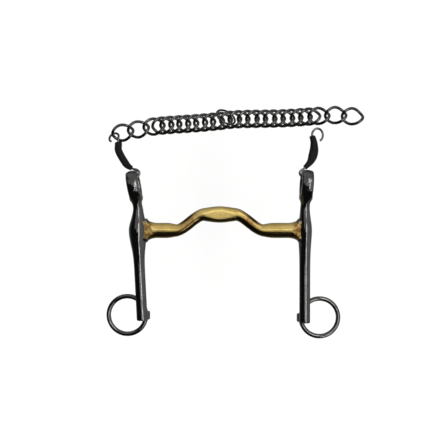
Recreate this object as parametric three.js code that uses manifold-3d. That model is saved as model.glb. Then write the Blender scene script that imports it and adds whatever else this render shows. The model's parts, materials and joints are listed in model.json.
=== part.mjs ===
// A curb bit lying flat: ported mouthpiece, two cheeks, rein rings, curb hooks and a double-link chain.
// Millimetres, +Z up. X runs across the bit and +Y from the shanks to the eyes and on to the chain.
import * as THREE from 'three';
import { mergeVertices } from 'three/addons/utils/BufferGeometryUtils.js';
import Module from 'manifold-3d';

const wasm = await Module();
wasm.setup();

// ---- driving dimensions ----
const FIT_GAP = 0.3;

const MOUTH_WIDTH = 125;
const BAR_RADIUS = 6.3;
const MOUTH_HEIGHT = 11.6;
const PORT = { shift: -2.4, rise: 13.2, flatHalf: 12.5, slopeRun: 24.5, radius: 6.8, slopeRadius: 4.8, lift: 1.3 };
const LENS = { half: 20, rise: 4.9 };
const FLARE = { length: 8.5, height: 3.6 };

const EYE = { radius: 12.5, hole: 7.5, rounding: 1.5, halfThickness: 4.75, height: 12.5 };
const SHANK = { neckHalf: 3.8, half: 4.5, depthHalf: 4, endHeight: 9.9, leanFrom: -10 };
const BOSS = { depthHalf: 9.3, above: 11.5, below: 15 };
const BEND_Y = 18;
const RING_BARREL = { inward: 2.4, height: 3.7, radius: 3.6, bore: 2.65, length: 6.8, fromEnd: 3.8 };
const REIN_RING = { radius: 15.85, wire: 1.95, play: 0.18 };

// Each cheek is a casting of its own, so the two lean and swell a little differently.
const CHEEKS = {
  left: { side: -1, bossHalf: 7.75, eyeY: 37.2, endY: -75.2, bend: 10, lean: 2.75 },
  right: { side: 1, bossHalf: 5.8, eyeY: 37.8, endY: -77.2, bend: 3.8, lean: 0 },
};

const LINK = { halfLength: 8.75, halfWidth: 6.6, wire: 1.2, twist: -45 };
const LINK_HEIGHT = 3.67;
// The mesh lies a little slack in its left half and drawn out in its right half, its links in loose pairs.
const PITCH = { single: 13.35, slack: 7.12, drawn: 7.43, pairing: 0.4, rightSingle: 14.2 };
const SLACK_COUNT = 8;
const MESH_COUNT = 18;
const CHAIN_COURSE = [
  [-84, 82.3], [-57.7, 87.4], [-22.2, 90.2], [-5, 91.7],
  [9, 93.3], [52.6, 94.4], [81.9, 96.4], [96.5, 97], [110.5, 95.9],
];
const FLY_LINK = { radius: 8.4, wire: 0.9, centre: [2.66, 94.78, 7.42], turn: -34.6, tilt: -50.3 };

const HOOK_WIRE = 0.95;
const HOOK_LOOP = { across: 0.2, out: 10, halfAcross: 5.9, halfOut: 4.1 };
const SLEEVE_HALF_DEPTH = 2.2;

// ---- small tools ----
const radians = THREE.MathUtils.degToRad;
const smoothstep = THREE.MathUtils.smoothstep;
const lerp = THREE.MathUtils.lerp;

/** The geometry with only positions, its shared vertices merged. */
function merged(geometry) {
  const bare = geometry.clone();
  bare.deleteAttribute('normal');
  bare.deleteAttribute('uv');
  return mergeVertices(bare, 1e-4);
}

function toSolid(geometry) {
  const closed = merged(geometry);
  return new wasm.Manifold(new wasm.Mesh({
    numProp: 3,
    vertProperties: new Float32Array(closed.attributes.position.array),
    triVerts: new Uint32Array(closed.index.array),
  }));
}

function toGeometry(solid) {
  const mesh = solid.getMesh();
  const geometry = new THREE.BufferGeometry();
  geometry.setAttribute('position', new THREE.BufferAttribute(mesh.vertProperties, 3));
  geometry.setIndex(new THREE.BufferAttribute(mesh.triVerts, 1));
  return geometry;
}

/** Moves every vertex of a geometry: place takes and returns a Vector3. */
function reshape(geometry, place) {
  const positions = geometry.attributes.position;
  const point = new THREE.Vector3();
  for (let i = 0; i < positions.count; i += 1) {
    const moved = place(point.fromBufferAttribute(positions, i));
    positions.setXYZ(i, moved.x, moved.y, moved.z);
  }
  return geometry;
}

/** A closed bar with round or oval sections: place(along, x, z) puts a point of the unit circle. */
function bar(sides, steps, place) {
  const cylinder = new THREE.CylinderGeometry(1, 1, 1, sides, steps);
  return reshape(cylinder, (p) => place(p.y + 0.5, p.x, p.z));
}

/** A round wire along an open curve. */
function wireAlong(curve, radius, sides, steps) {
  const section = new THREE.Shape();
  for (let i = 0; i < sides; i += 1) {
    const angle = (i / sides) * 2 * Math.PI;
    const corner = [radius * Math.cos(angle), radius * Math.sin(angle)];
    if (i === 0) section.moveTo(...corner);
    else section.lineTo(...corner);
  }
  section.closePath();
  return new THREE.ExtrudeGeometry(section, { extrudePath: curve, steps, curveSegments: 1 });
}

const polishedSteel = (roughness) => new THREE.MeshStandardMaterial({
  color: 0x8d8c88, roughness, metalness: 1,
});
const darkSteel = () => new THREE.MeshStandardMaterial({ color: 0x6f6e6b, roughness: 0.3, metalness: 1 });
const goldAlloy = () => new THREE.MeshStandardMaterial({ color: 0xc9a84e, roughness: 0.22, metalness: 1 });
const blackRubber = () => new THREE.MeshStandardMaterial({ color: 0x1b1b1b, roughness: 0.75, metalness: 0 });

const bit = new THREE.Group();

function addPart(name, geometry, material) {
  const mesh = new THREE.Mesh(geometry, material);
  mesh.name = name;
  bit.add(mesh);
  return mesh;
}

// ---- cheeks ----
const bossX = (cheek) => cheek.side * (MOUTH_WIDTH / 2 + cheek.bossHalf);

/** The middle of a cheek at a distance up it: the shank leans, and the top bends outward. */
function cheekX(cheek, y) {
  const shankLean = -Math.tan(radians(cheek.lean)) * Math.max(0, SHANK.leanFrom - y);
  const topBend = Math.tan(radians(cheek.bend)) * Math.max(0, y - BEND_Y);
  return bossX(cheek) + cheek.side * (shankLean + topBend);
}

const cheekZ = (cheek, y) => THREE.MathUtils.mapLinear(y, cheek.endY, cheek.eyeY, SHANK.endHeight, EYE.height);

const bossSwell = (y) => Math.exp(-((y / (y > 0 ? BOSS.above : BOSS.below)) ** 2));

function cheekHalfWidth(cheek, y) {
  const plain = lerp(SHANK.neckHalf, SHANK.half, smoothstep(-y, -5, 15));
  return plain + (cheek.bossHalf - plain) * bossSwell(y);
}

function cheekHalfDepth(y) {
  const flare = 2 * smoothstep(y, BEND_Y, BEND_Y + 9);
  return SHANK.depthHalf + flare + (BOSS.depthHalf - SHANK.depthHalf) * bossSwell(y);
}

/** The neck, boss and shank of a cheek, swollen by a clearance when it is used as a cutter. */
function cheekBar(cheek, clearance) {
  const topY = cheek.eyeY - (EYE.radius + EYE.hole) / 2;
  return bar(16, 24, (along, x, z) => {
    const y = lerp(cheek.endY, topY, along);
    return new THREE.Vector3(
      cheekX(cheek, y) + (cheekHalfWidth(cheek, y) + clearance) * x,
      y,
      cheekZ(cheek, y) + (cheekHalfDepth(y) + clearance) * z,
    );
  });
}

const eyeCentre = (cheek) => new THREE.Vector3(cheekX(cheek, cheek.eyeY), cheek.eyeY, EYE.height);

/** The eye: a ring of oval section with a narrow flat on each flank, square to the bent top. */
function eyeRing(cheek) {
  const halfOval = (flatEdge, start) => Array.from({ length: 6 }, (_, i) => {
    const angle = radians(start + i * 36);
    return new THREE.Vector2(
      flatEdge + EYE.rounding * Math.cos(angle),
      EYE.halfThickness * Math.sin(angle),
    );
  });
  const profile = [...halfOval(EYE.radius - EYE.rounding, -90), ...halfOval(EYE.hole + EYE.rounding, 90)];
  const ring = new THREE.LatheGeometry([...profile, profile[0].clone()], 22);
  ring.rotateZ(-Math.PI / 2);
  ring.rotateZ(radians(-cheek.side * cheek.bend));
  const centre = eyeCentre(cheek);
  ring.translate(centre.x, centre.y, centre.z);
  return ring;
}

const barrelCentre = (cheek) => new THREE.Vector3(
  cheekX(cheek, cheek.endY) - cheek.side * RING_BARREL.inward,
  cheek.endY + RING_BARREL.fromEnd,
  RING_BARREL.height,
);

/** The barrel behind the shank's end, on a short web, with the bore that the rein ring turns in. */
function addBarrel(cheek, solid) {
  const centre = barrelCentre(cheek);
  const shankMiddle = new THREE.Vector3(cheekX(cheek, centre.y), centre.y, cheekZ(cheek, centre.y));
  const reach = shankMiddle.clone().sub(centre);
  const barrel = new THREE.CylinderGeometry(RING_BARREL.radius, RING_BARREL.radius, RING_BARREL.length, 16);
  barrel.translate(centre.x, centre.y, centre.z);
  const web = new THREE.BoxGeometry(RING_BARREL.radius * 1.7, RING_BARREL.length, reach.length());
  web.rotateY(Math.atan2(reach.x, reach.z));
  web.translate((centre.x + shankMiddle.x) / 2, centre.y, (centre.z + shankMiddle.z) / 2);
  const bore = new THREE.CylinderGeometry(RING_BARREL.bore, RING_BARREL.bore, RING_BARREL.length * 2, 16);
  bore.translate(centre.x, centre.y, centre.z);
  return solid.add(toSolid(barrel)).add(toSolid(web)).subtract(toSolid(bore));
}

function makeCheek(cheek) {
  const body = toSolid(cheekBar(cheek, 0)).add(toSolid(eyeRing(cheek)));
  return toGeometry(addBarrel(cheek, body));
}

// ---- mouthpiece ----
const fromPort = (x) => Math.abs(x - PORT.shift);
const mouthRise = (x) => PORT.rise * smoothstep(PORT.flatHalf + PORT.slopeRun - fromPort(x), 0, PORT.slopeRun);
const slopeness = (x) => smoothstep(LENS.half + PORT.slopeRun - fromPort(x), 0, PORT.slopeRun / 2);
const lensness = (x) => smoothstep(LENS.half - fromPort(x), 0, LENS.half);

function mouthRadius(x) {
  const intoFlare = (Math.abs(x) - MOUTH_WIDTH / 2 + FLARE.length) / FLARE.length;
  const flare = 1 - Math.sqrt(1 - THREE.MathUtils.clamp(intoFlare, 0, 1) ** 2);
  const neck = lerp(BAR_RADIUS, PORT.slopeRadius, slopeness(x));
  return lerp(neck, PORT.radius, lensness(x)) + FLARE.height * flare;
}

function makeMouthpiece() {
  const reach = MOUTH_WIDTH / 2 + 4;
  const blank = toSolid(bar(16, 44, (along, across, up) => {
    const x = lerp(-reach, reach, along);
    const slope = Math.atan2(mouthRise(x + 0.1) - mouthRise(x - 0.1), 0.2);
    const radius = mouthRadius(x);
    return new THREE.Vector3(
      x + radius * across * Math.sin(slope),
      mouthRise(x) - radius * across * Math.cos(slope),
      MOUTH_HEIGHT + PORT.lift * slopeness(x) + radius * up,
    );
  }));
  const lensCut = new THREE.BoxGeometry(2 * LENS.half + 4, 30, 10);
  lensCut.translate(PORT.shift, PORT.rise, MOUTH_HEIGHT + PORT.lift + LENS.rise + 5);
  return toGeometry(Object.values(CHEEKS).reduce(
    (solid, cheek) => solid.subtract(toSolid(cheekBar(cheek, FIT_GAP))),
    blank.subtract(toSolid(lensCut)),
  ));
}

// ---- rein rings ----
/** The ring hangs outward from its barrel and tips down until its far edge lies on the surface. */
function makeReinRing(cheek) {
  const ring = new THREE.TorusGeometry(REIN_RING.radius, REIN_RING.wire, 8, 36);
  ring.rotateY(cheek.side * Math.asin((RING_BARREL.height - REIN_RING.wire) / (2 * REIN_RING.radius)));
  const centre = barrelCentre(cheek);
  const drop = (RING_BARREL.height - REIN_RING.wire) / 2;
  ring.translate(centre.x + cheek.side * (REIN_RING.radius - REIN_RING.play), centre.y, centre.z - drop);
  return ring;
}

// ---- curb chain ----
/** One link: a round wire ring, squeezed a little across and twisted along its length. */
function makeLink() {
  const ring = new THREE.TorusGeometry(LINK.halfLength, LINK.wire, 6, 20);
  return reshape(ring, (p) => {
    const around = Math.atan2(p.y, p.x);
    const y = p.y - (LINK.halfLength - LINK.halfWidth) * Math.sin(around);
    const twist = radians(LINK.twist) * (p.x / LINK.halfLength);
    return new THREE.Vector3(
      p.x,
      y * Math.cos(twist) - p.z * Math.sin(twist),
      y * Math.sin(twist) + p.z * Math.cos(twist),
    );
  });
}

/** Places and headings of all the links, walked at their pitches along the chain's course. */
function layChain() {
  const course = new THREE.CatmullRomCurve3(
    CHAIN_COURSE.map(([x, y]) => new THREE.Vector3(x, y, LINK_HEIGHT)),
    false,
    'centripetal',
  );
  const meshPitches = Array.from({ length: MESH_COUNT + 1 }, (_, i) => (
    (i < SLACK_COUNT ? PITCH.slack : PITCH.drawn) + (i % 2 ? -PITCH.pairing : PITCH.pairing)
  ));
  const pitches = [PITCH.single, PITCH.single, ...meshPitches, PITCH.rightSingle, PITCH.rightSingle];
  const length = course.getLength();
  let walked = 0;
  return [0, ...pitches].map((pitch) => {
    walked += pitch;
    const along = Math.min(walked / length, 1);
    const heading = course.getTangentAt(along);
    return { centre: course.getPointAt(along), heading: Math.atan2(heading.y, heading.x) };
  });
}

function linkName(index) {
  if (index < 3) return `chain_left_${index + 1}`;
  if (index < 3 + MESH_COUNT) return `chain_mesh_${String(index - 2).padStart(2, '0')}`;
  return `chain_right_${index - 2 - MESH_COUNT}`;
}

function makeFlyLink() {
  const ring = new THREE.TorusGeometry(FLY_LINK.radius, FLY_LINK.wire, 6, 24);
  ring.rotateX(radians(FLY_LINK.tilt));
  ring.rotateZ(radians(FLY_LINK.turn));
  ring.translate(...FLY_LINK.centre);
  return ring;
}

// ---- curb hooks ----
/** A hook's own frame: across points to the bit's middle, out away from the eye's centre. */
function hookFrame(cheek, droop) {
  const bend = radians(cheek.bend);
  const up = new THREE.Vector3(cheek.side * Math.sin(bend), Math.cos(bend), 0);
  const across = new THREE.Vector3(-cheek.side * Math.cos(bend), Math.sin(bend), 0);
  const out = up.multiplyScalar(Math.cos(radians(droop))).add(new THREE.Vector3(0, 0, -Math.sin(radians(droop))));
  const centre = eyeCentre(cheek);
  const place = (a, o) => centre.clone().addScaledVector(across, a).addScaledVector(out, o);
  return { across, out, face: across.clone().cross(out), place };
}

/** Points on an ellipse in a hook's plane, from one angle to another. */
function ellipsePoints(frame, centre, halves, from, to, count) {
  return Array.from({ length: count }, (_, i) => {
    const angle = radians(lerp(from, to, i / (count - 1)));
    return frame.place(centre[0] + halves[0] * Math.cos(angle), centre[1] + halves[1] * Math.sin(angle));
  });
}

/** The lower loop round the eye's rim, from its free end round to where the stem leaves it. */
const lowerLoop = (frame, from, to) => ellipsePoints(
  frame,
  [HOOK_LOOP.across, HOOK_LOOP.out],
  [HOOK_LOOP.halfAcross, HOOK_LOOP.halfOut],
  from,
  to,
  9,
);

/** The left hook's upper loop is turned out of its plane to pass round the first link's wire. */
function leftUpperLoop(link) {
  const loop = { radius: 4.3, offset: [-7.52, -4.19, -0.18], turn: 34.5, tilt: -35, from: -55, to: 212 };
  const turn = radians(loop.turn);
  const tilt = radians(loop.tilt);
  const first = new THREE.Vector3(Math.cos(turn), Math.sin(turn), 0);
  const second = new THREE.Vector3(
    -Math.sin(turn) * Math.cos(tilt),
    Math.cos(turn) * Math.cos(tilt),
    Math.sin(tilt),
  );
  const centre = link.centre.clone().add(new THREE.Vector3(...loop.offset));
  return Array.from({ length: 9 }, (_, i) => {
    const angle = radians(lerp(loop.from, loop.to, i / 8));
    return centre.clone()
      .addScaledVector(first, loop.radius * Math.cos(angle))
      .addScaledVector(second, loop.radius * Math.sin(angle));
  });
}

/** The sleeve: an oval tube round the middle of the stem, open at both ends. */
function makeSleeve(frame, stem, from, to, halfWidth) {
  const tube = (start, end, sides, halves) => bar(sides, 9, (along, x, z) => {
    const at = lerp(start, end, along);
    const ahead = stem.getTangentAt(at);
    const side = ahead.clone().cross(frame.face).normalize();
    const depth = side.clone().cross(ahead).normalize();
    const [half, deep] = halves(along);
    return stem.getPointAt(at).addScaledVector(side, half * x).addScaledVector(depth, deep * z);
  });
  const past = 0.01;
  const boreRadius = HOOK_WIRE + FIT_GAP;
  const outer = tube(from, to, 12, (along) => [halfWidth(along), SLEEVE_HALF_DEPTH]);
  const bore = tube(from - past, to + past, 6, () => [boreRadius, boreRadius]);
  return toGeometry(toSolid(outer).subtract(toSolid(bore)));
}

function makeLeftHook(firstLink) {
  const frame = hookFrame(CHEEKS.left, 9.3);
  const stemPoints = [[-2.2, 17.2], [-3.9, 19.8], [-7.7, 29.6], [-8.3, 32.6], [-7.5, 37.5]];
  const points = [
    ...lowerLoop(frame, -115, 72),
    ...stemPoints.map(([a, o]) => frame.place(a, o)),
    ...leftUpperLoop(firstLink),
  ];
  const curve = new THREE.CatmullRomCurve3(points, false, 'centripetal');
  const sleeve = makeSleeve(frame, curve, 0.27, 0.66, (along) => 2.2 + 0.9 * smoothstep(along, 0, 0.25));
  return { wire: wireAlong(curve, HOOK_WIRE, 7, 60), sleeve };
}

function makeRightHook() {
  const frame = hookFrame(CHEEKS.right, 13);
  const stemPoints = [[0.6, 16.4], [-2.2, 20], [-3.9, 24.2], [-5, 30], [-4.8, 37]];
  const points = [
    ...lowerLoop(frame, -115, 60),
    ...stemPoints.map(([a, o]) => frame.place(a, o)),
    ...ellipsePoints(frame, [-7.5, 44.2], [4.5, 5.9], 0, 240, 9),
  ];
  const curve = new THREE.CatmullRomCurve3(points, false, 'centripetal');
  const halfWidth = (along) => 2.1 + 1.8 * smoothstep(along, 0, 0.45) - 1.3 * smoothstep(along, 0.5, 1);
  const sleeve = makeSleeve(frame, curve, 0.24, 0.67, halfWidth);
  return { wire: wireAlong(curve, HOOK_WIRE, 7, 60), sleeve };
}

// ---- the bit ----
addPart('mouthpiece', makeMouthpiece(), goldAlloy());
for (const [name, cheek] of Object.entries(CHEEKS)) {
  addPart(`cheek_${name}`, makeCheek(cheek), polishedSteel(0.2));
  addPart(`rein_ring_${name}`, makeReinRing(cheek), polishedSteel(0.18));
}

const links = layChain();
const linkGeometry = makeLink();
links.forEach((link, index) => {
  const mesh = addPart(linkName(index), linkGeometry, darkSteel());
  mesh.position.copy(link.centre);
  mesh.rotation.z = link.heading;
});
addPart('fly_link', makeFlyLink(), darkSteel());

const hooks = { left: makeLeftHook(links[0]), right: makeRightHook() };
for (const [name, hook] of Object.entries(hooks)) {
  addPart(`curb_hook_${name}`, hook.wire, polishedSteel(0.25));
  addPart(`hook_sleeve_${name}`, hook.sleeve, blackRubber());
}

// The origin is under the middle of the whole object, on the surface that it lies on.
const extent = new THREE.Box3().setFromObject(bit, true);
const middle = extent.getCenter(new THREE.Vector3());
bit.position.set(-middle.x, -middle.y, -extent.min.z);

export default bit;
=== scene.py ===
import json
import math

import bpy
import numpy as np
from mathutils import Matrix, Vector


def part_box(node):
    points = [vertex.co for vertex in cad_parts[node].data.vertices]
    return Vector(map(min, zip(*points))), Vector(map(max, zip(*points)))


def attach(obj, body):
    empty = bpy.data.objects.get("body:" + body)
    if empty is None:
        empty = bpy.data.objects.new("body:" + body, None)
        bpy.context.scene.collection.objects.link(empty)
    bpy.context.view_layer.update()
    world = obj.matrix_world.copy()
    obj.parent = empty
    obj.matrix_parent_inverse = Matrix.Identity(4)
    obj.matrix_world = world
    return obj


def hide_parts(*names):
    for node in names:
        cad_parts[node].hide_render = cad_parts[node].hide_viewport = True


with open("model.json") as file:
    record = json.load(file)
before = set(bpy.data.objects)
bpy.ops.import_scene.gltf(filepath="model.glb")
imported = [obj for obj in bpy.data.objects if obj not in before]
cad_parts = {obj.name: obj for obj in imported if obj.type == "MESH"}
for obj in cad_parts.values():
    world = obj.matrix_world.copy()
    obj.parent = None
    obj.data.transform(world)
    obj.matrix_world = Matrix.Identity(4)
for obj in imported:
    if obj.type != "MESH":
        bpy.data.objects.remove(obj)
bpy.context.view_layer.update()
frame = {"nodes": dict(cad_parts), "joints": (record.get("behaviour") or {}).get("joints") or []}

# A curb bit lying flat. Shapes are worked out on a drawing of the bit in millimetres, with the origin on
# the ground under the middle of the mouthpiece, and moved into the frame in metres when each mesh is made.
# Wire sizes are radii, heights are above the ground, and angles are in degrees.
MM = 0.001

# The mouthpiece: a round bar between the cheeks, with a port that rises toward +Y and a flat lens on
# top of the port. "flat" is half the port's length at full rise, and "slope" is each slope's length.
MOUTH_WIDTH = 125
BAR_RADIUS = 6.3
MOUTH_HEIGHT = 11.6
BAR_INTO_CHEEK = 4
PORT = {
    "shift": -2.4, "rise": 13.2, "flat": 12.5, "slope": 24.5, "radius": 6.8, "slope_radius": 4.8, "lift": 1.3
}
LENS = {"half": 20, "rise": 4.9}
FLARE = {"length": 8.5, "height": 3.6}

# The cheeks: widths and depths are half ones. "bend" tilts the top outward, "lean" the shank inward.
EYE = {"radius": 12.5, "hole": 7.5, "rounding": 1.5, "half_thickness": 4.75, "height": 12.5}
EYE_MIDDLE = (EYE["radius"] + EYE["hole"]) / 2
SHANK = {"neck": 3.8, "half": 4.5, "depth": 4, "end_height": 9.9, "lean_from": -10}
SHANK_WIDENS = {"from": 5, "to": -15}
BOSS = {"depth": 9.3, "above": 11.5, "below": 15}
BEND_Y = 18
NECK_DEEPENS = {"by": 2, "over": 9}
BARREL = {"inward": 2.4, "height": 3.7, "radius": 3.6, "bore": 2.65, "length": 6.8, "from_end": 3.8}
REIN_RING = {"radius": 15.85, "wire": 1.95, "play": 0.18}
CHEEKS = {
    "left": {"side": -1, "boss": 7.75, "eye_y": 37.2, "end_y": -75.2, "bend": 10, "lean": 2.75},
    "right": {"side": 1, "boss": 5.8, "eye_y": 37.8, "end_y": -77.2, "bend": 3.8, "lean": 0},
}
CHEEK_ROUNDING = {
    "bar_end": 0.9, "eye_root": 4.5, "eye_hole": 1.2, "barrel": 0.8, "web": 1, "lug_root": 1.6, "bore": 0.5
}
# A cheek's mesh has about one point to each cell of this size that its surface passes through.
CHEEK_CELL = 0.5

# The curb chain.
LINK = {"half_length": 8.75, "half_width": 6.6, "wire": 1.24, "twist": -45}
FLY_LINK = {"radius": 8.4, "wire": 0.9, "turn": -34.6, "tilt": -50.3}

# The hooks: places are across and out from the eye's centre, in the hook's own plane, except that the
# left upper loop's offset is from the middle of the first chain link. A sleeve covers a share of its
# hook's length, swells from its lower end, and may taper over its upper half; its widths are half ones.
HOOK_WIRE = 0.95
LOWER_LOOP = {"centre": (0.2, 10), "halves": (5.9, 4.1), "from": -115}
LEFT_LOOP = {
    "radius": 4.3, "offset": (-7.52, -4.19, -0.18), "turn": 34.5, "tilt": -35, "from": -55, "to": 212
}
RIGHT_LOOP = {"centre": (-7.5, 44.2), "halves": (4.5, 5.9), "from": 0, "to": 240}
SLEEVE = {"half_depth": 2.2, "bore": 1.25, "lip": 0.35}
HOOKS = {
    "left": {
        "droop": 9.3,
        "lower_loop_to": 72,
        "bends": ((-2.2, 17.2), (-3.9, 19.8), (-7.7, 29.6), (-8.3, 32.6), (-7.5, 37.5)),
        "sleeve": {"from": 0.27, "to": 0.66, "width": 2.2, "swell": 0.9, "swell_over": 0.25, "taper": 0},
    },
    "right": {
        "droop": 13,
        "lower_loop_to": 60,
        "bends": ((0.6, 16.4), (-2.2, 20), (-3.9, 24.2), (-5, 30), (-4.8, 37)),
        "sleeve": {"from": 0.24, "to": 0.67, "width": 2.1, "swell": 1.8, "swell_over": 0.45, "taper": 1.3},
    },
}

# Seeded, so that every run gives the same bit.
rng = np.random.default_rng(7)


# ---- small tools ----
def smoothstep(value, low, high):
    t = np.clip((value - low) / (high - low), 0, 1)
    return t * t * (3 - 2 * t)


def mix(low, high, t):
    """A value some share t of the way from low to high."""
    return low + (high - low) * t


def unit(vectors):
    return vectors / np.linalg.norm(vectors, axis=-1, keepdims=True)


def round_angles(count):
    """Angles evenly spaced round a whole circle, in radians."""
    return np.linspace(0, 2 * math.pi, count, endpoint=False)


def walk(path):
    """How far along a path each of its points lies."""
    return np.concatenate([[0], np.cumsum(np.linalg.norm(np.diff(path, axis=0), axis=1))])


# ---- cheek formulas ----
def boss_x(cheek):
    return cheek["side"] * (MOUTH_WIDTH / 2 + cheek["boss"])


def cheek_x(cheek, y):
    """The middle of a cheek at a distance up it: the shank leans, and the top bends outward."""
    lean = -math.tan(math.radians(cheek["lean"])) * np.maximum(0, SHANK["lean_from"] - y)
    bend = math.tan(math.radians(cheek["bend"])) * np.maximum(0, y - BEND_Y)
    return boss_x(cheek) + cheek["side"] * (lean + bend)


def cheek_z(cheek, y):
    share = (y - cheek["end_y"]) / (cheek["eye_y"] - cheek["end_y"])
    return mix(SHANK["end_height"], EYE["height"], share)


def boss_swell(y):
    """One at the mouthpiece, where the boss is fullest, and fading up and down the cheek."""
    return np.exp(-((y / np.where(y > 0, BOSS["above"], BOSS["below"])) ** 2))


def cheek_half_width(cheek, y):
    plain = mix(SHANK["neck"], SHANK["half"], smoothstep(-y, -SHANK_WIDENS["from"], -SHANK_WIDENS["to"]))
    return plain + (cheek["boss"] - plain) * boss_swell(y)


def cheek_half_depth(y):
    deeper = NECK_DEEPENS["by"] * smoothstep(y, BEND_Y, BEND_Y + NECK_DEEPENS["over"])
    return SHANK["depth"] + deeper + (BOSS["depth"] - SHANK["depth"]) * boss_swell(y)


def eye_centre(cheek):
    return np.array([cheek_x(cheek, cheek["eye_y"]), cheek["eye_y"], EYE["height"]])


def barrel_centre(cheek):
    x = cheek_x(cheek, cheek["end_y"]) - cheek["side"] * BARREL["inward"]
    return np.array([x, cheek["end_y"] + BARREL["from_end"], BARREL["height"]])


# The left hook swings on the left eye's axis, so its joint says where the drawing's origin lies.
left_swing = next(joint for joint in frame["joints"] if joint["name"] == "curb_hook_left_swing")
ORIGIN = np.array(left_swing["pos_m"]) - eye_centre(CHEEKS["left"]) * MM


# ---- making meshes ----
def make_piece(name, points, faces, material, body, nodes, straight, marks=None):
    """A smooth mesh piece from points on the drawing, riding on a body in place of CAD nodes.

    straight is each point's place on the piece as if it were unbent, for lengthwise patterns;
    marks are named values per point that the material reads.
    """
    mesh = bpy.data.meshes.new(name)
    mesh.from_pydata((points * MM + ORIGIN).tolist(), [], [list(map(int, face)) for face in faces])
    mesh.update()
    mesh.polygons.foreach_set("use_smooth", [True] * len(mesh.polygons))
    attribute = mesh.attributes.new("straight", "FLOAT_VECTOR", "POINT")
    attribute.data.foreach_set("vector", np.asarray(straight, np.float32).ravel())
    for mark, values in (marks or {}).items():
        attribute = mesh.attributes.new(mark, "FLOAT", "POINT")
        attribute.data.foreach_set("value", np.asarray(values, np.float32))
    mesh.materials.append(material)
    piece = bpy.data.objects.new(name, mesh)
    bpy.context.scene.collection.objects.link(piece)
    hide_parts(*nodes)
    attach(piece, body)
    return piece


def tube_faces(rings, sides, closed):
    """Quads between the rings of a tube, with the rings and sides numbered in order."""
    ring = np.arange(rings if closed else rings - 1)[:, None]
    side = np.arange(sides)[None, :]
    after = (ring + 1) % rings
    beside = (side + 1) % sides
    quads = np.stack([
        ring * sides + side,
        ring * sides + beside,
        after * sides + beside,
        after * sides + side,
    ], axis=-1)
    return quads.reshape(-1, 4).tolist()


def end_caps(rings, sides):
    """The two faces that close the ends of an open tube."""
    return [list(range(sides))[::-1], list(range((rings - 1) * sides, rings * sides))]


def carried_frames(path, closed):
    """Two directions square to a path at each of its points, carried along with no twist."""
    ahead = unit(np.roll(path, -1, 0) - np.roll(path, 1, 0))
    if not closed:
        ahead[0] = unit(path[1] - path[0])
        ahead[-1] = unit(path[-1] - path[-2])

    def carry(side_before, ahead_now):
        return unit(side_before - ahead_now * np.dot(side_before, ahead_now))

    any_direction = [0.3, 0.2, 1]
    side = np.zeros_like(path)
    side[0] = unit(np.cross(ahead[0], any_direction))
    for i in range(1, len(path)):
        side[i] = carry(side[i - 1], ahead[i])
    if closed:
        carried = carry(side[-1], ahead[0])
        leftover = math.atan2(np.dot(np.cross(side[0], carried), ahead[0]), np.dot(side[0], carried))
        back = -leftover * np.arange(len(path)) / len(path)
        other = np.cross(ahead, side)
        side = side * np.cos(back)[:, None] + other * np.sin(back)[:, None]
    return side, np.cross(ahead, side)


def wire_tube(path, radius, sides, closed):
    """Points, faces and unbent places of a round wire along a path; open ends are domed."""
    radius = np.broadcast_to(radius, len(path)).astype(float)
    if not closed:
        path, radius = with_domed_ends(path, radius)
    side, other = carried_frames(path, closed)
    angle = round_angles(sides)
    across = np.cos(angle)[None, :] * radius[:, None]
    up = np.sin(angle)[None, :] * radius[:, None]
    points = path[:, None, :] + across[..., None] * side[:, None, :] + up[..., None] * other[:, None, :]
    straight = np.stack([np.broadcast_to(walk(path)[:, None], across.shape), across, up], axis=-1)
    faces = tube_faces(len(path), sides, closed)
    if not closed:
        faces += end_caps(len(path), sides)
    return points.reshape(-1, 3), faces, straight.reshape(-1, 3)


def with_domed_ends(path, radius):
    """The path and radii with each end's last stretch shrinking in a quarter circle."""
    swing = np.radians([10, 30, 50, 70, 90])
    start_points = path[0] + radius[0] * (1 - np.cos(swing))[:, None] * unit(path[1] - path[0])
    end_points = path[-1] + radius[-1] * (1 - np.cos(swing))[:, None] * unit(path[-2] - path[-1])
    start_radius = radius[0] * np.sin(swing)
    end_radius = radius[-1] * np.sin(swing)
    walked = walk(path)
    inner = (walked > radius[0] * 1.05) & (walked[-1] - walked > radius[-1] * 1.05)
    new_path = np.concatenate([start_points, path[inner], end_points[::-1]])
    new_radius = np.concatenate([start_radius, radius[inner], end_radius[::-1]])
    return new_path, new_radius


def smooth_curve(knots, count):
    """Evenly spaced points on a centripetal Catmull-Rom curve through the knots."""
    knots = np.asarray(knots, float)
    padded = np.concatenate([[2 * knots[0] - knots[1]], knots, [2 * knots[-1] - knots[-2]]])
    t = np.linspace(0, 1, 40, endpoint=False)[:, None]
    pieces = []
    for p0, p1, p2, p3 in zip(padded, padded[1:], padded[2:], padded[3:]):
        d0, d1, d2 = (np.linalg.norm(b - a) ** 0.5 for a, b in ((p0, p1), (p1, p2), (p2, p3)))
        leave = ((p1 - p0) / d0 - (p2 - p0) / (d0 + d1) + (p2 - p1) / d1) * d1
        arrive = ((p2 - p1) / d1 - (p3 - p1) / (d1 + d2) + (p3 - p2) / d2) * d1
        cubic = 2 * p1 - 2 * p2 + leave + arrive
        square = -3 * p1 + 3 * p2 - 2 * leave - arrive
        pieces.append(p1 + leave * t + square * t**2 + cubic * t**3)
    dense = np.concatenate([*pieces, knots[-1:]])
    walked = walk(dense)
    even = np.linspace(0, walked[-1], count)
    return np.stack([np.interp(even, walked, dense[:, k]) for k in range(3)], axis=1)


# ---- meshing a distance formula ----
CELL_CORNERS = [(i, j, k) for i in (0, 1) for j in (0, 1) for k in (0, 1)]


def at_corner(field, corner):
    """A grid field's values at one corner of every cell."""
    return field[tuple(slice(c, c + n - 1) for c, n in zip(corner, field.shape))]


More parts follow.
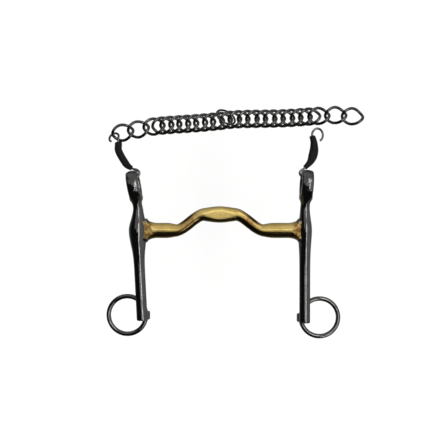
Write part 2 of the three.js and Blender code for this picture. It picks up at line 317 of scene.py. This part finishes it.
def crossing_points(grid, value, mixed, cell):
    """A point in each mixed cell, in the middle of the places where its edges cross the level."""
    total = np.zeros((mixed.sum(), 3))
    crossings = np.zeros(mixed.sum())
    for axis in range(3):
        for corner in CELL_CORNERS:
            if corner[axis]:
                continue
            far = tuple(c + (k == axis) for k, c in enumerate(corner))
            near_value = at_corner(value, corner)[mixed]
            far_value = at_corner(value, far)[mixed]
            crosses = (near_value < 0) != (far_value < 0)
            share = np.where(crosses, near_value / np.where(crosses, near_value - far_value, 1), 0)
            offset = np.array(corner, float)[None, :].repeat(len(share), 0)
            offset[:, axis] += share
            total += offset * crosses[:, None]
            crossings += crosses
    return grid[:-1, :-1, :-1][mixed] + cell * total / crossings[:, None]


def slide_onto_level(distance, points, furthest):
    """Points slid down the slope of a distance formula to its zero level, so far at most each time."""
    step = 1e-3
    least_slope = 0.05
    for _ in range(4):
        slope = np.stack([
            (distance(points + nudge) - distance(points - nudge)) / (2 * step)
            for nudge in step * np.eye(3)
        ], axis=1)
        move = -distance(points)[:, None] * slope / np.maximum((slope**2).sum(1), least_slope)[:, None]
        points = points + np.clip(move, -furthest, furthest)
    return points


def faces_across(inside, number):
    """A quad through the four cells round each grid edge that has one end inside and one outside."""
    faces = []
    for axis in range(3):
        first, second = (axis + 1) % 3, (axis + 2) % 3
        start = [slice(None)] * 3
        end = [slice(None)] * 3
        start[axis], end[axis] = slice(0, -1), slice(1, None)
        where = np.argwhere(inside[tuple(start)] != inside[tuple(end)])
        outward = inside[tuple(where.T)]
        quad = []
        for back_first, back_second in ((0, 0), (1, 0), (1, 1), (0, 1)):
            cell_at = where.copy()
            cell_at[:, first] -= back_first
            cell_at[:, second] -= back_second
            quad.append(number[tuple(cell_at.T)])
        quad = np.stack(quad, axis=1)
        faces += np.where(outward[:, None], quad, quad[:, ::-1]).tolist()
    return faces


def surface_from(distance, low, high, cell):
    """A closed mesh of quads on the zero level of a distance formula.

    One point stands in each grid cell that the level crosses, and is then slid onto the level.
    """
    axes = [np.arange(low[k] - 2 * cell, high[k] + 3 * cell, cell) for k in range(3)]
    grid = np.stack(np.meshgrid(*axes, indexing="ij"), axis=-1)
    value = distance(grid.reshape(-1, 3)).reshape(grid.shape[:3])
    inside = value < 0
    filled = sum(at_corner(inside, corner).astype(int) for corner in CELL_CORNERS)
    mixed = (filled > 0) & (filled < len(CELL_CORNERS))
    number = np.full(mixed.shape, -1)
    number[mixed] = np.arange(mixed.sum())
    points = crossing_points(grid, value, mixed, cell)
    points = slide_onto_level(distance, points, cell / 2)
    return points, faces_across(inside, number)


# ---- distance formulas, all in millimetres ----
def smooth_join(a, b, fillet):
    """The union of two solids with a fillet between them."""
    near = np.maximum(fillet - np.abs(a - b), 0) / fillet
    return np.minimum(a, b) - near**2 * fillet / 4


def smooth_cut(a, b, rounding):
    """What two solids share, with the edge between them rounded."""
    return -smooth_join(-a, -b, rounding)


def oval_distance(u, v, half_u, half_v):
    """About the distance to an oval with the given half axes."""
    level = np.sqrt((u / half_u) ** 2 + (v / half_v) ** 2) + 1e-9
    slope = np.sqrt((u / half_u**2) ** 2 + (v / half_v**2) ** 2) + 1e-9
    return level * (level - 1) / slope


def box_distance(p, halves, rounding):
    """The distance to a box with rounded edges."""
    past = np.abs(p) - (np.asarray(halves) - rounding)
    outside = np.linalg.norm(np.maximum(past, 0), axis=-1)
    return outside + np.minimum(past.max(-1), 0) - rounding


def bar_distance(cheek, p):
    """The neck, boss and shank: an oval bar from the lower end up into the eye's ring."""
    x, y, z = p.T
    top = cheek["eye_y"] - EYE_MIDDLE
    held = np.clip(y, cheek["end_y"], top)
    bar = oval_distance(
        x - cheek_x(cheek, held),
        z - cheek_z(cheek, held),
        cheek_half_width(cheek, held),
        cheek_half_depth(held),
    )
    bar = smooth_cut(bar, cheek["end_y"] - y, CHEEK_ROUNDING["bar_end"])
    return smooth_cut(bar, y - top, CHEEK_ROUNDING["bar_end"])


def eye_distances(cheek, p):
    """The distance to the eye's ring, and the distance to the axis of its hole."""
    bend = math.radians(cheek["bend"])
    axis = np.array([cheek["side"] * math.cos(bend), -math.sin(bend), 0])
    from_eye = p - eye_centre(cheek)
    through = from_eye @ axis
    around = np.linalg.norm(from_eye - through[:, None] * axis, axis=1)
    flat = (EYE["radius"] - EYE["hole"]) / 2 - EYE["rounding"]
    beyond = np.maximum(np.abs(around - EYE_MIDDLE) - flat, 0)
    ring = oval_distance(beyond, through, EYE["rounding"], EYE["half_thickness"])
    return ring, around


def lug_distances(cheek, p):
    """The distances to the rein ring's barrel with the web that joins it to the shank, and to its bore."""
    barrel = barrel_centre(cheek)
    from_barrel = p - barrel
    wide = np.hypot(from_barrel[:, 0], from_barrel[:, 2])
    half_length = BARREL["length"] / 2
    rounding = CHEEK_ROUNDING["barrel"]
    drum = smooth_cut(wide - BARREL["radius"], np.abs(from_barrel[:, 1]) - half_length, rounding)
    shank = np.array([cheek_x(cheek, barrel[1]), barrel[1], cheek_z(cheek, barrel[1])])
    rise = shank - barrel
    length = np.linalg.norm(rise)
    upward = rise / length
    sideways = np.array([upward[2], 0, -upward[0]])
    local = np.stack([
        from_barrel @ sideways,
        from_barrel[:, 1],
        from_barrel @ upward - length / 2,
    ], axis=1)
    web_half_width = BARREL["radius"] * 0.85
    web = box_distance(local, [web_half_width, half_length, length / 2], rounding)
    lug = smooth_join(drum, web, CHEEK_ROUNDING["web"])
    bore = np.maximum(wide - BARREL["bore"], np.abs(from_barrel[:, 1]) - BARREL["length"])
    return lug, bore


def cheek_distance(cheek, p):
    """A whole cheek: the bar, with the eye at its top and the rein ring's barrel at its lower end."""
    ring, from_axis = eye_distances(cheek, p)
    lug, bore = lug_distances(cheek, p)
    solid = smooth_join(bar_distance(cheek, p), ring, CHEEK_ROUNDING["eye_root"])
    solid = smooth_cut(solid, EYE["hole"] - from_axis, CHEEK_ROUNDING["eye_hole"])
    solid = smooth_join(solid, lug, CHEEK_ROUNDING["lug_root"])
    return smooth_cut(solid, -bore, CHEEK_ROUNDING["bore"])


# ---- materials ----
class Shader:
    """The nodes of a material or world, added one by one and linked by their sockets."""

    def __init__(self, owner, surface):
        owner.use_nodes = True
        self.owner = owner
        self.tree = owner.node_tree
        self.surface = self.tree.nodes[surface]

    def add(self, kind, inputs=None, **settings):
        node = self.tree.nodes.new(kind)
        for key, value in settings.items():
            setattr(node, key, value)
        for key, value in (inputs or {}).items():
            self.set(node, key, value)
        return node

    def set(self, node, key, value):
        if isinstance(value, bpy.types.NodeSocket):
            self.tree.links.new(value, node.inputs[key])
        else:
            node.inputs[key].default_value = value

    def unbent(self, scale):
        """The point's place on the unbent piece, stretched by a scale for each direction."""
        place = self.add("ShaderNodeAttribute", attribute_name="straight")
        mapping = self.add("ShaderNodeMapping", {"Vector": place.outputs["Vector"], "Scale": scale})
        return mapping.outputs["Vector"]

    def noise(self, vector, scale, detail, roughness=0.55):
        inputs = {"Vector": vector, "Scale": scale, "Detail": detail, "Roughness": roughness}
        return self.add("ShaderNodeTexNoise", inputs).outputs["Fac"]

    def spread(self, value, low, high, to_low, to_high):
        """A value's range from low to high, spread over another range and held at its ends."""
        inputs = {"Value": value, "From Min": low, "From Max": high, "To Min": to_low, "To Max": to_high}
        return self.add("ShaderNodeMapRange", inputs, clamp=True).outputs["Result"]

    def blend(self, amount, low, high):
        """A colour between two others; the sockets numbered 6 and 7 are the mix node's colours."""
        node = self.add("ShaderNodeMix", {"Factor": amount}, data_type="RGBA")
        for index, color in ((6, low), (7, high)):
            self.set(node, index, color if isinstance(color, bpy.types.NodeSocket) else (*color, 1))
        return node.outputs[2]

    def mark(self, name):
        return self.add("ShaderNodeAttribute", attribute_name=name).outputs["Fac"]

    def math(self, operation, first, second):
        return self.add("ShaderNodeMath", {0: first, 1: second}, operation=operation).outputs[0]

    def bump(self, height, distance, normal=None):
        inputs = {"Height": height, "Distance": distance, "Strength": 1.0}
        if normal is not None:
            inputs["Normal"] = normal
        return self.add("ShaderNodeBump", inputs).outputs["Normal"]

    def finish(self, color, roughness, normal, **fixed):
        for key, value in (("Base Color", color), ("Roughness", roughness), ("Normal", normal)):
            self.set(self.surface, key, value)
        for key, value in fixed.items():
            self.set(self.surface, key.replace("_", " "), value)
        return self.owner


def material_shader(name):
    return Shader(bpy.data.materials.new(name), "Principled BSDF")


def steel(name, light, dark, roughness, grime_and_shade):
    """Polished steel: faint lengthwise polishing lines, soft smears, small nicks and uneven casting. The
    smears darken the colour toward the dark one by up to the given share: real smears on most pieces, and
    painted shade on the chain.
    """
    shader = material_shader(name)
    lines = shader.noise(shader.unbent((0.12, 3, 3)), 2.2, detail=5)
    smears = shader.noise(shader.unbent((0.5, 1, 1)), 0.16, detail=3)
    nicks = shader.noise(shader.unbent((1, 1, 1)), 1.3, detail=2)
    # The smears' darkening: real smears, and painted shade where the share is large, as on the chain.
    stain_and_shade = shader.spread(smears, 0.42, 0.72, 0, grime_and_shade)
    color = shader.blend(stain_and_shade, light, dark)
    worn = shader.spread(lines, 0.3, 0.8, roughness * 0.75, roughness * 1.6)
    rough = shader.math("ADD", worn, shader.spread(smears, 0.45, 0.8, 0, roughness * 0.9))
    fine = shader.bump(lines, 0.000012)
    nicked = shader.bump(shader.spread(nicks, 0.3, 0.36, 0, 1), 0.00002, fine)
    swells = shader.noise(shader.unbent((0.6, 1, 1)), 0.3, detail=2)
    normal = shader.bump(shader.math("MULTIPLY", swells, shader.mark("unevenness")), 0.001, nicked)
    return shader.finish(color, rough, normal, Metallic=1.0)


def gold_alloy():
    """Gold-coloured alloy: browner slopes, lumpy braze and greyed flares at the cheeks, fine lines."""
    shader = material_shader("gold_alloy")
    pale_gold, deep_gold = (0.82, 0.62, 0.22), (0.68, 0.49, 0.15)
    brown, grey, braze_brown = (0.33, 0.19, 0.07), (0.26, 0.24, 0.19), (0.33, 0.15, 0.045)
    lines = shader.noise(shader.unbent((0.15, 3, 3)), 2.0, detail=5)
    patches = shader.noise(shader.unbent((0.6, 1, 1)), 0.12, detail=3)
    base = shader.blend(shader.spread(patches, 0.35, 0.7, 0, 1), pale_gold, deep_gold)
    blotch = shader.noise(shader.unbent((1, 1, 1)), 0.42, detail=5)
    browned = shader.math("MULTIPLY", shader.mark("tarnish"), shader.spread(blotch, 0.3, 0.6, 0.4, 1))
    aged = shader.blend(browned, base, brown)
    edge = shader.math("MULTIPLY", shader.mark("braze"), shader.spread(blotch, 0.35, 0.6, 0.15, 1))
    greyed = shader.blend(shader.mark("flare_rim"), aged, grey)
    color = shader.blend(edge, greyed, braze_brown)
    rough = shader.spread(lines, 0.3, 0.75, 0.12, 0.24)
    rough = shader.math("ADD", rough, shader.math("MULTIPLY", edge, 0.2))
    fine = shader.bump(lines, 0.00001)
    normal = shader.bump(shader.math("MULTIPLY", blotch, edge), 0.00025, fine)
    return shader.finish(color, rough, normal, Metallic=1.0)


def black_rubber():
    """Matt black rubber, with fine streaks along the tube and a little dust."""
    shader = material_shader("black_rubber")
    black, grey, dusty = (0.003, 0.003, 0.003), (0.022, 0.022, 0.021), (0.014, 0.0135, 0.013)
    streaks = shader.noise(shader.unbent((0.05, 4, 4)), 1.6, detail=6, roughness=0.65)
    dust = shader.noise(shader.unbent((1, 1, 1)), 0.5, detail=6)
    bare = shader.blend(shader.spread(streaks, 0.5, 0.72, 0, 1), black, grey)
    color = shader.blend(shader.spread(dust, 0.5, 0.75, 0, 0.5), bare, dusty)
    rough = shader.spread(streaks, 0.3, 0.7, 0.5, 0.75)
    grain = shader.bump(dust, 0.00002)
    normal = shader.bump(streaks, 0.00012, grain)
    return shader.finish(color, rough, normal, Metallic=0.0)


GOLD = gold_alloy()
CHEEK_STEEL = steel("cheek_steel", (0.50, 0.50, 0.49), (0.30, 0.29, 0.28), 0.07, 0.6)
RING_STEEL = steel("ring_steel", (0.48, 0.48, 0.47), (0.30, 0.30, 0.29), 0.08, 0.5)
# The hooks' steel: a lighter copy of the cheeks' steel, a painted highlight that brightens the glints on
# their loops.
HOOK_STEEL = steel("hook_steel", (0.62, 0.62, 0.61), (0.36, 0.35, 0.34), 0.10, 0.5)
# The chain's steel: a much darker copy with heavy dark smears, painted shade for the dark surroundings that
# the chain reflects.
CHAIN_STEEL = steel("chain_steel", (0.46, 0.46, 0.45), (0.14, 0.14, 0.135), 0.13, 0.8)
RUBBER = black_rubber()


# ---- cheeks ----
def make_cheek(name):
    cheek = CHEEKS[name]
    low, high = ((np.array(corner) - ORIGIN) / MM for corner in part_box(f"cheek_{name}"))
    points, faces = surface_from(lambda p: cheek_distance(cheek, p), low, high, CHEEK_CELL)
    straight = np.stack([
        points[:, 1],
        points[:, 0] - cheek_x(cheek, points[:, 1]),
        points[:, 2] - EYE["height"],
    ], axis=1)
    near_eye = smoothstep(points[:, 1], 16, 28)
    make_piece(
        f"cheek_{name}_cast",
        points,
        faces,
        CHEEK_STEEL,
        "bit",
        [f"cheek_{name}"],
        straight,
        {"unevenness": 0.05 + 0.55 * near_eye},
    )


# ---- mouthpiece ----
def from_port(x):
    return np.abs(x - PORT["shift"])


def mouth_rise(x):
    """How far the bar's middle lies toward +Y, in the port and on its slopes."""
    return PORT["rise"] * smoothstep(PORT["flat"] + PORT["slope"] - from_port(x), 0, PORT["slope"])


def slopeness(x):
    """One over the port and most of its slopes, fading to nothing a little beyond them."""
    return smoothstep(LENS["half"] + PORT["slope"] - from_port(x), 0, PORT["slope"] / 2)


def lensness(x):
    """One in the middle of the port, fading to nothing at the ends of the lens."""
    return smoothstep(LENS["half"] - from_port(x), 0, LENS["half"])


def mouth_radius(x):
    into_flare = (np.abs(x) - MOUTH_WIDTH / 2 + FLARE["length"]) / FLARE["length"]
    flare = 1 - np.sqrt(1 - np.clip(into_flare, 0, 1) ** 2)
    neck = mix(BAR_RADIUS, PORT["slope_radius"], slopeness(x))
    return mix(neck, PORT["radius"], lensness(x)) + FLARE["height"] * flare


def bar_sections(radius, lens_top):
    """Round sections with their tops pressed flat under lens_top, as points across and up.

    The points stand close together round the two edges of the flat.
    """
    edge = math.radians(5)
    least_corner = math.radians(14)
    corner = np.maximum(np.arccos(np.clip(lens_top / radius, -1, 1)), least_corner)
    round_edge = edge * np.linspace(-1, 1, 9)[1:-1]
    on_lens = (corner - edge) * np.linspace(-1, 1, 25)
    on_round = (corner + edge) + 2 * (math.pi - corner - edge) * np.linspace(0, 1, 72)
    other_corner = 2 * math.pi - corner
    angle = np.concatenate([on_lens, corner + round_edge, on_round, other_corner + round_edge], axis=1)
    across = radius * np.sin(angle)
    up = radius * np.cos(angle)
    softness = 0.35
    return across, lens_top - softness * np.logaddexp(0, (lens_top - up) / softness)


def mouth_marks(straight):
    """How far each point is in the braze at the cheeks, on a flare's rim, and on a browned slope."""
    in_joint = smoothstep(np.abs(straight[:, 0]), MOUTH_WIDTH / 2 - 6, MOUTH_WIDTH / 2 - 2)
    off_axis = smoothstep(np.abs(straight[:, 1]), 4.5, 8)
    risen = mouth_rise(straight[:, 0]) / PORT["rise"]
    return {
        "braze": in_joint * (1 - off_axis),
        "flare_rim": in_joint * off_axis,
        "tarnish": 4 * risen * (1 - risen),
    }


def make_mouthpiece():
    """The bar, with the flat lens on top of its port."""
    reach = MOUTH_WIDTH / 2 + BAR_INTO_CHEEK
    x = np.linspace(-reach, reach, 420)[:, None]
    step = 0.1
    slope = np.arctan2(mouth_rise(x + step) - mouth_rise(x - step), 2 * step)
    middle = MOUTH_HEIGHT + PORT["lift"] * slopeness(x)
    across, up = bar_sections(mouth_radius(x), MOUTH_HEIGHT + PORT["lift"] + LENS["rise"] - middle)
    points = np.stack([
        x + across * np.sin(slope),
        mouth_rise(x) - across * np.cos(slope),
        middle + up,
    ], axis=-1)
    rings, sides = across.shape
    faces = tube_faces(rings, sides, closed=False) + end_caps(rings, sides)
    straight = np.stack([np.broadcast_to(x, across.shape), across, up], axis=-1).reshape(-1, 3)
    return make_piece(
        "mouthpiece_bar",
        points.reshape(-1, 3),
        faces,
        GOLD,
        "bit",
        ["mouthpiece"],
        straight,
        mouth_marks(straight),
    )


# ---- wire pieces ----
def make_wire(node, path, radius, material, sides, closed=True, pattern_start=0):
    """A wire piece that stands for a node and rides on the body of the same name."""
    points, faces, straight = wire_tube(path, radius, sides, closed)
    straight[:, 0] += pattern_start
    make_piece(f"{node}_wire", points, faces, material, node, [node], straight)


def node_points(node):
    """The vertices of a CAD node, on the drawing."""
    mesh = frame["nodes"][node].data
    places = np.zeros(len(mesh.vertices) * 3)
    mesh.vertices.foreach_get("co", places)
    return (places.reshape(-1, 3) - ORIGIN) / MM


def node_middle(node):
    places = node_points(node)
    return (places.min(0) + places.max(0)) / 2


def tilted_axes(turn, tilt):
    """Two directions that span a ring's plane: the first turned about Z, the second tilted from level."""
    turn = math.radians(turn)
    tilt = math.radians(tilt)
    first = np.array([math.cos(turn), math.sin(turn), 0])
    second = np.array([-math.sin(turn) * math.cos(tilt), math.cos(turn) * math.cos(tilt), math.sin(tilt)])
    return first, second


# ---- rein rings ----
def make_rein_ring(name):
    cheek = CHEEKS[name]
    centre = barrel_centre(cheek)
    drop = (BARREL["height"] - REIN_RING["wire"]) / 2
    tip = cheek["side"] * math.asin(drop / REIN_RING["radius"])
    angle = round_angles(160)
    radial = REIN_RING["radius"] * np.cos(angle)
    path = np.stack([
        radial * math.cos(tip),
        REIN_RING["radius"] * np.sin(angle),
        -radial * math.sin(tip),
    ], axis=1)
    path += centre + [cheek["side"] * (REIN_RING["radius"] - REIN_RING["play"]), 0, -drop]
    make_wire(f"rein_ring_{name}", path, REIN_RING["wire"], RING_STEEL, sides=28)


# ---- curb chain ----
def make_link(node):
    """One link: a round wire ring, squeezed a little across and twisted along its length."""
    centre = node_middle(node)
    spread = np.cov((node_points(node) - centre)[:, :2].T)
    heading = 0.5 * math.atan2(2 * spread[0, 1], spread[0, 0] - spread[1, 1])
    angle = round_angles(88)
    along = LINK["half_length"] * np.cos(angle)
    across = LINK["half_width"] * np.sin(angle)
    twist = math.radians(LINK["twist"]) * np.cos(angle)
    ring = np.stack([along, across * np.cos(twist), across * np.sin(twist)], axis=1)
    turn = np.array([
        [math.cos(heading), math.sin(heading), 0],
        [-math.sin(heading), math.cos(heading), 0],
        [0, 0, 1],
    ])
    path = ring @ turn + centre
    start = rng.uniform(0, 500)
    make_wire(node, path, LINK["wire"], CHAIN_STEEL, sides=16, pattern_start=start)


def make_fly_link():
    first, second = tilted_axes(FLY_LINK["turn"], FLY_LINK["tilt"])
    angle = round_angles(120)[:, None]
    path = node_middle("fly_link") + FLY_LINK["radius"] * (np.cos(angle) * first + np.sin(angle) * second)
    make_wire("fly_link", path, FLY_LINK["wire"], CHAIN_STEEL, sides=16)


# ---- curb hooks ----
class HookPlane:
    """A hook's own plane: across points to the bit's middle, and out points away from the eye's centre."""

    def __init__(self, name):
        cheek = CHEEKS[name]
        bend = math.radians(cheek["bend"])
        droop = math.radians(HOOKS[name]["droop"])
        side = cheek["side"]
        up = np.array([side * math.sin(bend), math.cos(bend), 0])
        self.across = np.array([-side * math.cos(bend), math.sin(bend), 0])
        self.out = up * math.cos(droop) + np.array([0, 0, -math.sin(droop)])
        self.face = np.cross(self.across, self.out)
        self.centre = eye_centre(cheek)

    def place(self, across, out):
        return self.centre + self.across * across + self.out * out

    def loop(self, centre, halves, start, end):
        """Points on an oval loop in the plane, from one angle to another in degrees."""
        angles = np.radians(np.linspace(start, end, 9))
        return [
            self.place(centre[0] + halves[0] * math.cos(a), centre[1] + halves[1] * math.sin(a))
            for a in angles
        ]


def left_upper_loop():
    """The left hook's upper loop, turned out of its plane to pass round the first link's wire."""
    first, second = tilted_axes(LEFT_LOOP["turn"], LEFT_LOOP["tilt"])
    centre = node_middle("chain_left_1") + LEFT_LOOP["offset"]
    angles = np.radians(np.linspace(LEFT_LOOP["from"], LEFT_LOOP["to"], 9))
    return [centre + LEFT_LOOP["radius"] * (first * math.cos(a) + second * math.sin(a)) for a in angles]


def right_upper_loop(plane):
    """The right hook's upper loop, open and in the hook's own plane."""
    return plane.loop(RIGHT_LOOP["centre"], RIGHT_LOOP["halves"], RIGHT_LOOP["from"], RIGHT_LOOP["to"])


def make_sleeve(name, plane, path):
    """The sleeve: an oval rubber tube round the middle of the stem, with rounded lips and fine ribs."""
    sleeve = HOOKS[name]["sleeve"]
    walked = walk(path)
    lip = SLEEVE["lip"]
    low = sleeve["from"] * walked[-1] + lip
    high = sleeve["to"] * walked[-1] - lip
    turn = np.radians(np.arange(20, 180, 20))
    outside = np.linspace(low, high, 70)
    bore = np.linspace(high, low, 12)
    distance = np.concatenate([outside, high + lip * np.sin(turn), bore, low - lip * np.sin(turn)])
    fullness = np.concatenate([
        np.ones(len(outside)),
        (1 + np.cos(turn)) / 2,
        np.zeros(len(bore)),
        (1 - np.cos(turn)) / 2,
    ])[:, None]

    def at(distance):
        return np.stack([np.interp(distance, walked, path[:, k]) for k in range(3)], axis=1)

    ahead = unit(at(distance + 0.3) - at(distance - 0.3))
    side = unit(np.cross(ahead, plane.face))
    depth = unit(np.cross(side, ahead))
    angle = round_angles(72)[None, :]
    ribs = 0.07 * np.cos(11 * angle) + 0.05 * np.cos(23 * angle + 1.3) - 0.12
    share = np.clip((distance - low) / (high - low), 0, 1)[:, None]
    half_width = sleeve["width"] + sleeve["swell"] * smoothstep(share, 0, sleeve["swell_over"])
    half_width = half_width - sleeve["taper"] * smoothstep(share, 0.5, 1)
    across = mix(SLEEVE["bore"], half_width + ribs, fullness) * np.cos(angle)
    up = mix(SLEEVE["bore"], SLEEVE["half_depth"] + ribs, fullness) * np.sin(angle)
    points = at(distance)[:, None] + across[..., None] * side[:, None] + up[..., None] * depth[:, None]
    straight = np.stack([np.broadcast_to(distance[:, None], across.shape), across, up], axis=-1)
    faces = tube_faces(*across.shape, closed=True)
    make_piece(
        f"hook_sleeve_{name}_rubber",
        points.reshape(-1, 3),
        [face[::-1] for face in faces],
        RUBBER,
        f"curb_hook_{name}",
        [f"hook_sleeve_{name}"],
        straight.reshape(-1, 3),
    )


def make_hook(name, plane, upper_loop):
    """One wire from the lower loop, round the eye's rim, up the stem to the upper loop, with its sleeve."""
    hook = HOOKS[name]
    lower = plane.loop(LOWER_LOOP["centre"], LOWER_LOOP["halves"], LOWER_LOOP["from"], hook["lower_loop_to"])
    stem = [plane.place(*bend) for bend in hook["bends"]]
    path = smooth_curve([*lower, *stem, *upper_loop], 260)
    make_wire(f"curb_hook_{name}", path, HOOK_WIRE, HOOK_STEEL, sides=18, closed=False)
    make_sleeve(name, plane, path)


def make_hooks():
    left_plane = HookPlane("left")
    right_plane = HookPlane("right")
    make_hook("left", left_plane, left_upper_loop())
    make_hook("right", right_plane, right_upper_loop(right_plane))


# ---- the stage, in metres ----
CAMERA_DISTANCE = 0.6
VIEW_WIDTH = 0.370
VIEW_CENTRE = Vector((ORIGIN[0] - 0.0006, ORIGIN[1] + 0.0070, 0.010))
FLOOR_DEPTH = 0.2
FLOOR_HALF = 4
GOLD_LIGHT_DISTANCE = 1.0


def make_camera():
    """A camera straight above the bit, which takes in VIEW_WIDTH halfway up it."""
    data = bpy.data.cameras.new("camera")
    data.sensor_width = 36  # millimetres, as the lens is
    data.lens = data.sensor_width * CAMERA_DISTANCE / VIEW_WIDTH
    camera = bpy.data.objects.new("camera", data)
    camera.location = VIEW_CENTRE + Vector((0, 0, CAMERA_DISTANCE))
    bpy.context.scene.collection.objects.link(camera)
    bpy.context.scene.camera = camera


def make_floor():
    """A pale floor some way under the bit, left out of the reflections in it."""
    mesh = bpy.data.meshes.new("floor")
    corners = [(x * FLOOR_HALF, y * FLOOR_HALF, 0) for x, y in ((-1, -1), (1, -1), (1, 1), (-1, 1))]
    mesh.from_pydata(corners, [], [(0, 1, 2, 3)])
    shader = material_shader("pale_floor")
    place = shader.add("ShaderNodeTexCoord").outputs["Object"]
    mottle = shader.noise(place, 6, detail=3)
    color = shader.blend(mottle, (0.93, 0.93, 0.925), (0.95, 0.95, 0.945))
    shader.set(shader.surface, "Base Color", color)
    shader.set(shader.surface, "Roughness", 0.9)
    mesh.materials.append(shader.owner)
    floor = bpy.data.objects.new("floor", mesh)
    floor.location = (0, 0, -FLOOR_DEPTH)
    floor.visible_glossy = False
    bpy.context.scene.collection.objects.link(floor)


def make_light(name, lean, distance, size, brightness, only=None, in_reflections=True):
    """A flat light that leans from straight overhead toward +Y, in degrees, and faces the bit.

    only is a collection of the objects that it lights, where it does not light everything.
    """
    data = bpy.data.lights.new(name, "AREA")
    data.shape = "RECTANGLE"
    data.size, data.size_y = size
    data.energy = brightness * math.pi * size[0] * size[1]
    light = bpy.data.objects.new(name, data)
    lean = math.radians(lean)
    light.location = Vector((0, math.sin(lean), math.cos(lean))) * distance
    light.rotation_euler = (-lean, 0, 0)
    light.visible_glossy = in_reflections
    if only:
        light.light_linking.receiver_collection = only
    bpy.context.scene.collection.objects.link(light)


def light_gold(mouthpiece):
    """Lights for the mouthpiece only: two broad ones on its +Y side, and a thin line near its middle."""
    gold_objects = bpy.data.collections.new("gold_objects")
    gold_objects.objects.link(mouthpiece)
    for name, low, high, brightness in (
        ("gold_panel", 3, 66, 0.5),
        ("gold_low_panel", 66, 130, 0.32),
        ("gold_line", 3, 6.5, 1.0),
    ):
        half_span = math.radians(high - low) / 2
        size = (1.5, 2 * GOLD_LIGHT_DISTANCE * math.tan(half_span))
        make_light(name, (low + high) / 2, GOLD_LIGHT_DISTANCE, size, brightness, gold_objects)


# The studio's panels as the bit sees them: each spans a range of leans from straight overhead, in
# degrees toward +X or +Y, reaches some way to each side across that, and has a brightness.
PANELS = (
    {"toward": "X", "from": 18, "to": 25, "reach": 0.6, "level": 2.4},
    {"toward": "X", "from": -5.5, "to": 9, "reach": 0.17, "level": 0.5},
    {"toward": "X", "from": 28, "to": 115, "reach": 0.7, "level": 0.15},
    {"toward": "Y", "from": 10, "to": 115, "reach": 0.6, "level": 0.15},
)
PANEL_EDGE = 1.0
PANEL_SIDE_EDGE = 0.03
BACKDROP_LEVEL = 0.8


def make_world():
    """Dark surroundings that lighten toward the ground, with soft-edged panels in them.

    Where no piece is in the way, the camera itself sees at least a pale backdrop.
    """
    world = bpy.data.worlds.new("studio")
    bpy.context.scene.world = world
    shader = Shader(world, "Background")
    direction = shader.add("ShaderNodeTexCoord").outputs["Generated"]
    split = shader.add("ShaderNodeSeparateXYZ", {"Vector": direction}).outputs

    def within(value, low, high, soft):
        """One between low and high, falling to nothing over a soft edge on each side."""
        rise = shader.spread(value, low - soft, low + soft, 0, 1)
        fall = shader.spread(value, high - soft, high + soft, 1, 0)
        return shader.math("MULTIPLY", rise, fall)

    level = shader.spread(split["Z"], -1, -0.2, 0.2, 0.007)
    for panel in PANELS:
        along, across = (split["X"], split["Y"]) if panel["toward"] == "X" else (split["Y"], split["X"])
        lean = shader.math("ARCTAN2", along, split["Z"])
        low, high = math.radians(panel["from"]), math.radians(panel["to"])
        span = within(lean, low, high, math.radians(PANEL_EDGE))
        sides = within(across, -panel["reach"], panel["reach"], PANEL_SIDE_EDGE)
        lit = shader.math("MULTIPLY", shader.math("MULTIPLY", span, sides), panel["level"])
        level = shader.math("ADD", level, lit)
    seen = shader.add("ShaderNodeLightPath").outputs["Is Camera Ray"]
    backdrop = shader.math("MULTIPLY", seen, BACKDROP_LEVEL)
    shader.set(shader.surface, "Color", shader.math("MAXIMUM", level, backdrop))


make_camera()
make_world()
make_floor()
make_light("floor_wash", 0, 4, (7, 7), 2.1, in_reflections=False)
bpy.context.scene.view_settings.view_transform = "Standard"

# ---- the bit ----
for cheek_name in CHEEKS:
    make_cheek(cheek_name)
    make_rein_ring(cheek_name)
light_gold(make_mouthpiece())
for node_name in sorted(frame["nodes"]):
    if node_name.startswith("chain_"):
        make_link(node_name)
make_fly_link()
make_hooks()
